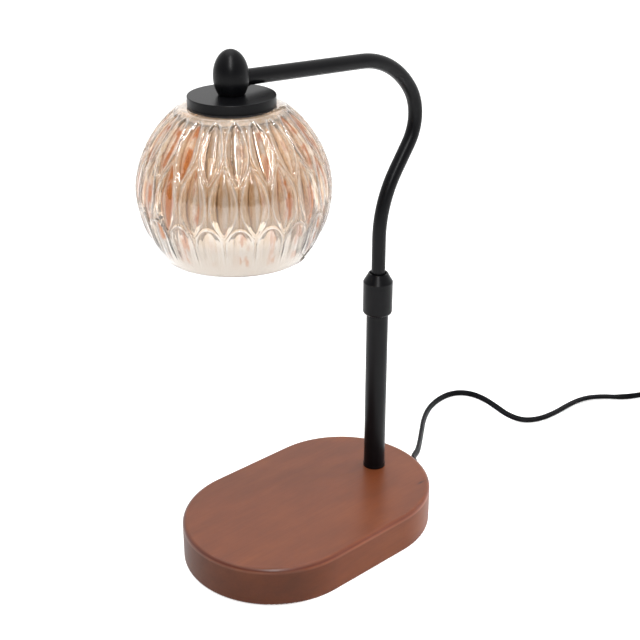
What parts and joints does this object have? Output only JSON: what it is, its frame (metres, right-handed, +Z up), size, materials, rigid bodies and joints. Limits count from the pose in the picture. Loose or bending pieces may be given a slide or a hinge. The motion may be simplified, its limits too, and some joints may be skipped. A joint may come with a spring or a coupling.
{
  "type": "candle warmer lamp",
  "caption": "Candle warmer lamp with a wood base, a sliding and swinging crook arm, a pressed glass shade over the candle and a flat cord with an inline dimmer.",
  "frame": {"origin": "on the surface the lamp stands on, under the middle of the base", "axes": "+Z up, +X along the base towards the post, the shade on the -X side"},
  "size_m": [0.5401, 0.2311, 0.3716],
  "materials": {
    "wood": "reddish brown satin lacquer",
    "pad": "matte foam",
    "ballast_steel": "zinc plated",
    "screw_steel": "zinc plated",
    "cover_board": "matte fibre board",
    "black_metal": "satin black powder coat",
    "brass": "machined",
    "nylon": "natural nylon",
    "lead": "silicone sleeve",
    "rubber": "moulded",
    "cord": "dark grey PVC",
    "dimmer_shell": "fine moulded",
    "dimmer_wheel": "ridged",
    "circuit_board": "solder mask",
    "plug": "moulded PVC",
    "shade_glass": "pressed amber lustre glass",
    "ceramic": "unglazed white",
    "bulb_mirror": "dichroic reflector",
    "lens_glass": "clear"
  },
  "bodies": {
    "stand": {"wood_base": "wood", "base_pad": "pad", "ballast_plate": "ballast_steel", "ballast_screws": "screw_steel", "wiring_cover": "cover_board", "cover_screws": "screw_steel", "post_foot": "black_metal", "post_stud": "screw_steel", "stud_washer": "screw_steel", "stud_nut": "screw_steel", "post_tube": "black_metal", "post_bush": "brass", "clamp_ring": "nylon", "post_lead": "lead", "cord_gland": "rubber", "cord_inner": "cord", "wire_connector": "nylon", "cord_to_dimmer": "cord", "dimmer_bottom": "dimmer_shell", "dimmer_top": "dimmer_shell", "dimmer_screws": "screw_steel", "wheel_axle": "screw_steel", "dimmer_board": "circuit_board", "cord_to_coil": "cord", "cord_coil": "cord", "cord_to_plug": "cord", "plug_body": "plug", "plug_blades": "brass"},
    "clutch": {"clutch_nut": "black_metal"},
    "slider": {"guide_bush": "nylon"},
    "arm": {"arm_tube": "black_metal", "arm_clips": "screw_steel", "arm_lead": "lead", "arm_egg": "black_metal", "arm_set_screw": "screw_steel", "lamp_nipple": "screw_steel", "canopy_disc": "black_metal", "shade_gasket": "rubber", "glass_shade": "shade_glass", "shade_ring": "dimmer_shell", "socket_cup": "black_metal", "socket_nut": "screw_steel", "socket_screws": "screw_steel", "socket_spacers": "screw_steel", "gu10_socket": "ceramic"},
    "bulb": {"bulb_base": "ceramic", "bulb_reflector": "bulb_mirror", "bulb_lens": "lens_glass", "bulb_pins": "screw_steel"},
    "wheel": {"dimmer_wheel": "dimmer_wheel"}
  },
  "joints": [
    {"name": "clutch_turn", "type": "hinge", "parent": "stand", "child": "clutch", "pos_m": [0.0677, 0, 0.17], "axis": [0, 0, 1], "range_deg": [-180, 180]},
    {"name": "arm_height", "type": "slide", "parent": "stand", "child": "slider", "axis": [0, 0, 1], "range_m": [-0.03, 0.053]},
    {"name": "arm_swing", "type": "hinge", "parent": "slider", "child": "arm", "pos_m": [0.0677, 0, 0.12], "axis": [0, 0, 1], "range_deg": [-170, 170]},
    {"name": "bulb_twist", "type": "hinge", "parent": "arm", "child": "bulb", "pos_m": [-0.0608, 0, 0.3], "axis": [0, 0, 1], "range_deg": [-28, 0]},
    {"name": "dimmer_turn", "type": "hinge", "parent": "stand", "child": "wheel", "pos_m": [0.40413, -0.0904, 0.0085], "axis": [0, 0, 1], "range_deg": [0, 270]}
  ]
}
